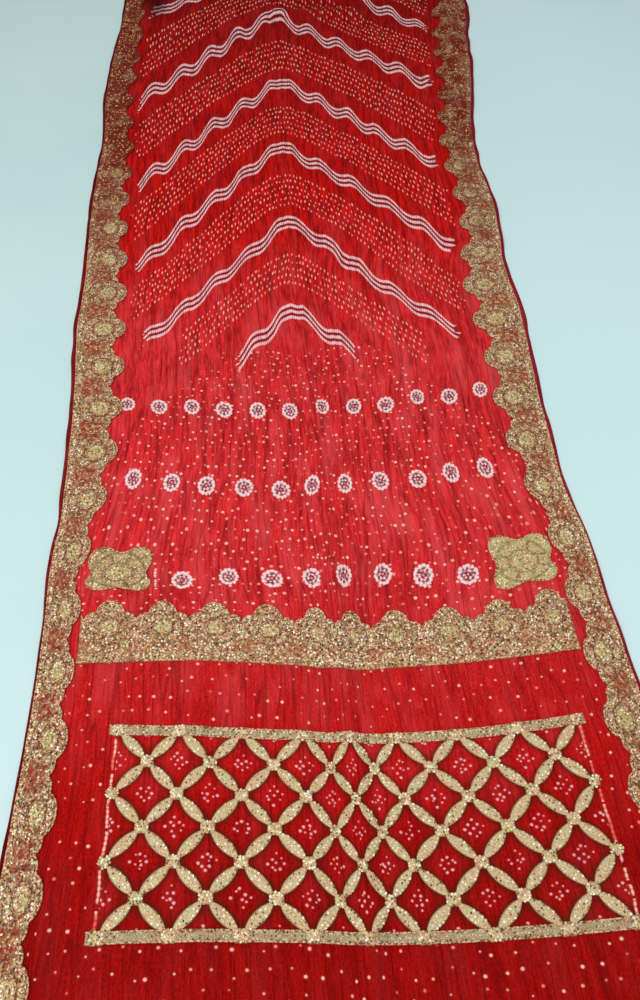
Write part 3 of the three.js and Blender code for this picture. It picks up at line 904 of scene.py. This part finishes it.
def stitchedFinish():
    # gold filling stitches over the ground of a band
    finish = Finish("goldFillStitch", thread, Roughness=0.6, Metallic=0.1, Specular_IOR_Level=0.15)
    p, q = finish.flat()
    grain = finish.noise(p / 1.6, q / 1.6, 2.0, 0.7)
    patch = finish.noise(p / 6, q / 6, 2.0, 0.6)
    bare = finish.noise(p / 9, q / 9, 2.0, 0.7).ramp(0.4, 0.6)
    # painted shade in the stitch grooves, where the grain also sinks the bump
    finish.colour = finish.mix(grain.ramp(0.35, 0.65), "dark", "mid")
    finish.coat(patch.ramp(0.5, 0.7) * 0.7, "light")
    finish.coat(finish.value("heart").ramp(0.1, 0.5) * 0.6, "heart")
    finish.coat(finish.value("rust") * bare * 0.95, "rust")
    finish.coat(finish.value("shade") * 0.66, "contour")
    # painted shade towards the far end
    finish.coat(farEndPaintedShade(finish, *finish.place()), "worn")
    return finish.finished(grain + patch * 0.6, 0.0012, 0.9)


def cordFinish():
    finish = Finish("creamCord", thread, Roughness=0.6, Specular_IOR_Level=0.15)
    x, y = finish.place()
    twist = finish.noise(x * 260, y * 260, 3.0, 0.65)
    finish.colour = finish.mix(twist.ramp(0.42, 0.58), "cordShade", "cord")
    # painted shade on the cords towards the far end
    finish.coat(farEndPaintedShade(finish, x, y) * 0.95, "worn")
    return finish.finished(twist, 0.0008, 0.8)


def sequinFinish():
    # every sequin keeps its own random value, so that some carry a painted glint and some a painted shade
    finish = Finish("goldSequin", thread, Specular_IOR_Level=0.3)
    chance = finish.value("chance")
    stops = [(at, rgb(*colour)) for at, colour in sequinGlintAndShadeStops]
    finish.colour = finish.node("ShaderNodeValToRGB", {"stops": stops}, {0: chance})
    x, y = finish.place()
    tarnish = finish.noise(x * 170, y * 170, 1.0).ramp(0.52, 0.62)
    bare = finish.noise(x * 110, y * 110, 2.0, 0.7).ramp(0.4, 0.6)
    worn = farEndPaintedShade(finish, x, y)
    finish.coat(tarnish * 0.56, "rust")
    finish.coat(finish.value("heart") * 0.4, "sequinHeart")
    finish.coat(finish.value("rust") * bare * 0.92, "rust")
    finish.coat(finish.value("shade").ramp(0.2, 0.8) * 0.66, "contour")
    # painted shade towards the far end, with a painted glint on a few sequins
    finish.coat(worn, finish.mix(chance.ramp(0.72, 0.76), "worn", "wornGlint"))
    finish.link((1 - worn) * 0.35, "Metallic")
    finish.link(0.3 + chance * 0.3, "Roughness")
    return finish.finished()


stitched, cordCream, sequinGold = stitchedFinish(), cordFinish(), sequinFinish()
cords, sequins = cordTree(), sequinTree()


def pathMesh(name, paths, lay):
    # edge chains for the cord tree; a path is (firsts, seconds, lift, closed, thickness)
    points, edges, thick = [], [], []
    for first, second, lift, closed, size in paths:
        start = len(points)
        points.extend(lay(np.asarray(first, float), np.asarray(second, float), lift).tolist())
        count = len(points) - start
        thick.extend([size] * count)
        edges.extend([[start + k, start + k + 1] for k in range(count - 1)])
        if closed:
            edges.append([start + count - 1, start])
    data = bpy.data.meshes.new(name)
    data.from_pydata(points, edges, [])
    data.attributes.new("thick", "FLOAT", "POINT").data.foreach_set("value", thick)
    return addObject(name, data)


def addCords(name, paths, lay):
    sizes = {"Radius": gold["cordRadius"] / 1000, "Step": gold["cordStep"] / 1000,
             "Material": cordCream}
    return run(cords, pathMesh(name + "Path", paths, lay), name + "Cords", sizes)


def addSequins(name, first, second, lift, lay, kinds, seed):
    source = meshObject(name + "Points", lay(first, second, lift), [], None, kinds)
    sizes = {"Radius": gold["sequin"] / 1000, "Flatness": gold["sequinFlat"],
             "Tilt": gold["sequinTilt"], "Seed": seed, "Material": sequinGold}
    return run(sequins, source, name + "Sequins", sizes)


def flowerCords(across, along, size, count, petal):
    # a flower's two rings and its eight petals
    paths = []
    for radius, lift in ((6.5, 2.6), (18, 1.9)):
        ring = np.linspace(0, turn, count + 1)[:-1]
        paths.append((across + size * radius * np.cos(ring), along + size * radius * np.sin(ring),
                      goldBase + lift, True, gold["ringThick"]))
    sweep = np.linspace(-1, 1, 11)
    reach = size * (20 + petal * np.sqrt(np.clip(1 - sweep ** 2, 0, 1)))
    for n in range(8):
        angle = turn * (n + 0.5) / 8 + sweep * 0.36
        paths.append((across + reach * np.cos(angle), along + reach * np.sin(angle),
                      goldBase + 1.9, False, gold["petalThick"]))
    return paths


def flowerSpots(reach, size):
    # places for sequins in rings round a flower's middle
    step = gold["sequinStep"]
    spots = []
    for radius in np.arange(step, reach, step):
        count = max(int(turn * radius * size / step), 3)
        ring = np.linspace(0, turn, count + 1)[:-1] + radius
        spots.append(size * radius * np.stack([np.cos(ring), np.sin(ring)], axis=-1))
    return np.concatenate(spots)


def goldBand(name, starts, ends, repeats, size, depthScale, centreD, bare, lay, seed):
    # a scalloped band: lay takes s along the band and d into it
    pitch = size * gold["pitch"]
    s = np.linspace(starts, ends, max(int((ends - starts) / 3.4), 2) + 1)
    along, share = np.meshgrid(s, np.linspace(0, 1, 22), indexing="ij")
    edge = (depthScale * scallop((s - repeats) / pitch))[:, None]
    depth = share * edge
    local = (along - repeats) - pitch * np.round((along - repeats) / pitch)
    height, marks = flowerRelief(local, depth, size, centreD, bare)
    height = height * np.clip((edge - depth) / 3, 0.35, 1)
    ground = slab(name, [(along, depth, height, marks)], lay, stitched)

    # cords: the scalloped edge, two base lines, and each flower's rings and petals
    fineS = np.linspace(starts, ends, int((ends - starts) / 2.2))
    fineEdge = depthScale * scallop((fineS - repeats) / pitch) - 1.6
    lift = goldBase + gold["cordLift"]
    paths = [(fineS, fineEdge, lift, False, gold["edgeThick"]),
             (fineS, fineEdge - 6.5, lift + 0.1, False, 0.7),
             (fineS[::4], 0 * fineS[::4] + 2.0, lift, False, gold["edgeThick"]),
             (fineS[::4], 0 * fineS[::4] + 13.5, lift, False, 0.75)]
    firstFlower = math.ceil((starts - repeats) / pitch - 0.35)
    lastFlower = math.floor((ends - repeats) / pitch + 0.35)
    for k in range(firstFlower, lastFlower + 1):
        for ps, pd, high, closed, thick in flowerCords(repeats + k * pitch, centreD, size, 24, 15):
            if not closed:
                pd = np.clip(pd, 15, depthScale * scallop((ps - repeats) / pitch) - 3)
            paths.append((ps, pd, high, closed, thick))
    paths = [path for path in paths if np.min(path[0]) >= starts and np.max(path[0]) <= ends]
    ropes = addCords(name, paths, lay)

    # sequins in rings round each flower, and in rows between them
    around = flowerSpots((depthScale - centreD) / size + 20, size)
    spots = np.concatenate([around + [repeats + k * pitch, centreD]
                            for k in range(firstFlower - 1, lastFlower + 2)])
    rng = np.random.default_rng(seed)
    spots = spots + rng.normal(0, 0.5, spots.shape)
    away = spots[:, 0] - repeats
    own = away - pitch * np.round(away / pitch)
    inside = (spots[:, 0] > starts + 2) & (spots[:, 0] < ends - 2) & (spots[:, 1] > 2)
    inside &= spots[:, 1] < depthScale * scallop(away / pitch) - 2.6
    spots, own = spots[inside], own[inside]
    # where the rings of neighbours overlap, only the first to claim a place keeps it
    keys = np.floor(spots / (gold["sequinStep"] * 0.86)).astype(int)
    _, firsts = np.unique(keys[:, 0] * 100003 + keys[:, 1], return_index=True)
    spots, own = spots[firsts], own[firsts]
    height, marks = flowerRelief(own, spots[:, 1], size, centreD, bare)
    thin = rng.random(len(spots)) > marks["rust"] * 0.7
    marks = {key: column[thin] for key, column in marks.items()}
    first, second = spots[thin].T
    shine = addSequins(name, first, second, goldBase + height[thin] + 0.15, lay, marks, seed)
    print(name + ":", len(ground.data.polygons), "faces,", len(first), "sequins")
    return [ground, ropes, shine]


def laceLay(side):
    def lay(s, d, lift):
        return onTable(side * (cloth["halfWidth"] - gold["selvedge"] - d), s, lift)
    return lay


def borderLay(s, d, lift):
    return onPattern(s, gold["borderStart"] + d, lift)


laceEnd = cloth["halfLength"] - cloth["hem"] - 1
laceDepth = cloth["laceAcross"] - gold["selvedge"]
laceLeft = goldBand("laceLeft", -laceEnd, laceEnd, gold["flowerLeft"], 1.0, laceDepth,
                    gold["flowerDepth"], gold["bareLeft"], laceLay(-1), 31)
laceRight = goldBand("laceRight", -laceEnd, laceEnd, gold["flowerRight"], 1.0, laceDepth,
                     gold["flowerDepth"], gold["bareRight"], laceLay(1), 32)
borderEnd = cloth["halfWidth"] - cloth["laceAcross"] - 2
borderFirst = gold["borderMiddle"] + gold["borderPitch"] / 2
laceCross = goldBand("laceCross", -borderEnd, borderEnd, borderFirst, gold["borderPitch"] / gold["pitch"],
                     gold["borderDepth"], gold["borderFlower"], gold["bareBorder"], borderLay, 33)


def cornerMotif(name, across, row, pale, seed):
    # a square flower with drawn-in sides
    tall = gold["cornerTall"]

    def outline(angle):
        return gold["cornerReach"] * (0.84 - 0.16 * np.cos(4 * angle))

    def place(radius, angle):
        return across + radius * np.cos(angle), row + tall * radius * np.sin(angle)

    angle, share = np.meshgrid(np.linspace(0, turn, 97), np.linspace(0, 1, 16), indexing="ij")
    radius = share * outline(angle)
    heart = np.clip(1 - (radius / 17) ** 2, pale, 1)
    height = gold["ground"] + 1.1 * heart ** 0.7 + 0.8 * petals(angle) * bell(radius, 29, 10)
    height = height * np.clip((outline(angle) - radius) / 3, 0.35, 1)
    marks = {"heart": heart, "rust": 0 * heart, "shade": contour(radius, angle)}
    ground = slab(name, [(*place(radius, angle), height, marks)], onPattern, stitched)
    ring = np.linspace(0, turn, 97)[:-1]
    rim = (*place(outline(ring) - 1.5, ring), goldBase + gold["cordLift"], True, gold["edgeThick"])
    ropes = addCords(name, [rim] + flowerCords(across, row, 1.0, 32, 16), onPattern)
    spots = flowerSpots(gold["cornerReach"], 1.0)
    away, angle = np.hypot(*spots.T), np.arctan2(spots[:, 1], spots[:, 0])
    keep = away < outline(angle) - 3
    away, angle = away[keep], angle[keep]
    heart = np.clip(1 - (away / 17) ** 2, pale, 1)
    marks = {"heart": heart, "rust": 0 * heart, "shade": contour(away, angle) * (1.15 - pale)}
    lift = goldBase + gold["ground"] + 0.2 + 0.9 * heart ** 0.7
    return [ground, ropes, addSequins(name, *place(away, angle), lift, onPattern, marks, seed)]


cornerLeft = cornerMotif("cornerLeft", *corners["left"], 41)
cornerRight = cornerMotif("cornerRight", *corners["right"], 42)

leafGold = {"shade": (158, 116, 78), "light": (238, 212, 168), "green": (206, 214, 152),
            "pink": (232, 176, 146), "rim": (96, 62, 30)}


def netFinish():
    # paler gold of the leaves, darker at their rims from stitching and painted shade
    finish = Finish("paleGoldLeaf", leafGold, Roughness=0.55, Metallic=0.1, Specular_IOR_Level=0.2)
    p, q = finish.flat()
    grain = finish.noise(p / 1.5, q / 1.5, 2.0, 0.7)
    patch = finish.noise(p / 9, q / 9, 2.0, 0.6)
    finish.colour = finish.mix(grain.ramp(0.34, 0.58), "shade", "light")
    finish.coat(patch.ramp(0.5, 0.66) * 0.6, "green")
    finish.coat(patch.ramp(0.42, 0.3) * 0.5, "pink")
    # the rims darkened with stitching colour and painted shade
    finish.coat(finish.value("rim").ramp(0.72, 1.0) * 0.8, "rim")
    return finish.finished(grain, 0.0012, 0.9)


def netPanel():
    middle, half, rows, bays = panel["middle"], panel["half"], panel["rows"], panel["bays"]
    ends = half + panel["barEnd"]
    blocks, spots = [], []

    def knotAt(i, j):
        return middle - half + panelBay * (i + (j % 2) / 2), panel["near"] + panelRise * j

    def dome(share, rise, power=0.6):
        # rounded top of a stitched pad, 0 at its rim
        return rise * np.clip(1 - share ** 2, 0, 1) ** power

    def leaf(a, b):
        apart = math.hypot(b[0] - a[0], b[1] - a[1])
        dx, dy = (b[0] - a[0]) / apart, (b[1] - a[1]) / apart

        def place(t, w):
            return (a[0] + b[0]) / 2 + t * dx - w * dy, (a[1] + b[1]) / 2 + t * dy + w * dx

        long, wide = panel["leafLong"] / 2, panel["leafWide"] / 2
        u, v = np.meshgrid(np.linspace(-1, 1, 15), np.linspace(-1, 1, 7), indexing="ij")
        w = v * wide * np.clip(1 - np.abs(u) ** 2.2, 0, 1) ** 0.85
        height = 0.5 + dome(v, 1.9) * np.clip(1 - u * u, 0, 1) ** 0.5
        blocks.append((*place(u * long, w), height, {"rim": np.maximum(np.abs(v), np.abs(u) ** 3)}))
        for t in np.arange(-0.72, 0.73, 0.24):
            span = wide * (1 - abs(t) ** 2.2) ** 0.85 - 2.2
            for w in np.arange(-span, span + 0.1, 4.6) if span > 0 else [0]:
                spots.append((*place(t * long, w), 0.5 + dome(w / (span + 2), 1.9), 0))

    def knot(centre, size):
        angle, share = np.meshgrid(np.linspace(0, turn, 25), np.linspace(0, 1, 6), indexing="ij")
        reach = share * size * (0.86 - 0.14 * np.cos(4 * angle))
        blocks.append((centre[0] + reach * np.cos(angle), centre[1] + reach * np.sin(angle),
                       0.6 + dome(share, 2.2), {"rim": share}))
        for at in (0.1, 3.6, 6.6):
            count = max(int(turn * at / 3.6), 1)
            for n in range(count):
                around = turn * n / count
                spots.append((centre[0] + at * math.cos(around), centre[1] + at * math.sin(around),
                              0.6 + dome(at / 11, 2.2), 0))

    def bar(q, shade):
        u, v = np.meshgrid(middle + np.linspace(-ends, ends, 180), np.linspace(-1, 1, 7), indexing="ij")
        blocks.append((u, q + v * panel["bar"] / 2 + 0 * u, 0.5 + dome(v, 1.0, 0.5),
                       {"rim": np.maximum(np.abs(v), 0.84)}))
        for s in np.arange(-ends + 3, ends - 2, 3.9):
            for w in (-4, 0, 4):
                spots.append((middle + s, q + w, 1.5, shade))

    for j in range(rows + 1):
        for i in range(bays + (0 if j % 2 else 1)):
            atSide = j % 2 == 0 and i in (0, bays) and 0 < j < rows
            knot(knotAt(i, j), panel["sideKnot"] if atSide else panel["knot"])
            if j == rows:
                continue
            for k in (i - 1, i) if j % 2 == 0 else (i, i + 1):
                if 0 <= k < bays + (0 if (j + 1) % 2 else 1):
                    leaf(knotAt(i, j), knotAt(k, j + 1))
    bar(panel["near"], panel["nearShade"])
    bar(panel["far"], panel["farShade"])
    ground = slab("netPanel", blocks, onPattern, netFinish())
    spot = np.array(spots)
    rng = np.random.default_rng(51)
    spot[:, :2] += rng.normal(0, 0.35, (len(spot), 2))
    first, second, lift, shade = spot.T
    marks = {"heart": 0 * shade + 0.3, "rust": 0 * shade, "shade": shade}
    shine = addSequins("netPanel", first, second, goldBase + lift, onPattern, marks, 52)
    along = middle + np.linspace(-ends, ends, 160)
    edges = [(along, 0 * along + q + side * (panel["bar"] / 2 - 1), goldBase + 1.3, False, 1.1)
             for q in (panel["near"], panel["far"]) for side in (-1, 1)]
    ropes = addCords("netPanel", edges, onPattern)
    print("net panel:", len(ground.data.polygons), "faces,", len(spot), "sequins")
    return [ground, ropes, shine]


net = netPanel()

# Riding and replacing
goldPieces = {
    "lace_left": laceLeft,
    "lace_right": laceRight,
    "lace_cross": laceCross,
    "corner_left": cornerLeft,
    "corner_right": cornerRight,
    "net_panel": net,
}
for node, pieces in goldPieces.items():
    for piece in pieces:
        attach(piece, "root")
    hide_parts(node)
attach(sheet, "root")
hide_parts("cloth")
[piece for pieces in goldPieces.values() for piece in pieces]

# Floor, light and camera
studio = {
    "floorReach": 40, "world": 0.46,
    "key": 74, "keySize": (3.2, 2.4), "keyAt": (-0.9, -1.4, 2.9), "keyTurn": (28, -14),
    "camera": (-0.097, -1.220, 1.12), "down": 57, "yaw": 4.2, "focal": 28.26,
}
floorTints = {"pale": (205, 232, 232), "cloud": (196, 226, 226), "right": (216, 246, 247)}


def addFloor():
    data = bpy.data.meshes.new("floor")
    reach = studio["floorReach"]
    data.from_pydata([(-reach, -reach, 0), (reach, -reach, 0), (reach, reach, 0), (-reach, reach, 0)],
                     [], [(0, 1, 2, 3)])
    finish = Finish("paleFloor", floorTints, Roughness=0.6)
    x, y = finish.place()
    finish.colour = finish.mix(finish.noise(x * 1.3, y * 1.3, 3.0, 0.5).ramp(0.35, 0.7), "pale", "cloud")
    # painted light: the floor is lighter towards the right
    finish.coat(x.ramp(-0.2, 0.7) * 0.8, "right")
    data.materials.append(finish.finished())
    floor = addObject("floor", data)


addFloor()
world = bpy.data.worlds.new("studio")
bpy.context.scene.world = world
world.use_nodes = True
sky = world.node_tree.nodes["Background"].inputs
sky[0].default_value = (1.0, 1.0, 1.0, 1)
sky[1].default_value = studio["world"]
lamp = bpy.data.lights.new("key", "AREA")
lamp.shape = "RECTANGLE"
lamp.size, lamp.size_y = studio["keySize"]
lamp.energy = studio["key"]
key = addObject("key", lamp)
key.location = studio["keyAt"]
key.rotation_euler = (math.radians(studio["keyTurn"][0]), math.radians(studio["keyTurn"][1]), 0)
bpy.context.scene.view_settings.view_transform = "Standard"

lens = bpy.data.cameras.new("camera")
lens.lens = studio["focal"]
lens.sensor_width = 36
lens.clip_start = 0.02
camera = addObject("camera", lens)
camera.location = studio["camera"]
camera.rotation_euler = (math.radians(90 - studio["down"]), 0, math.radians(-studio["yaw"]))
bpy.context.scene.camera = camera

bpy.context.view_layer.update()
print("scene ready")
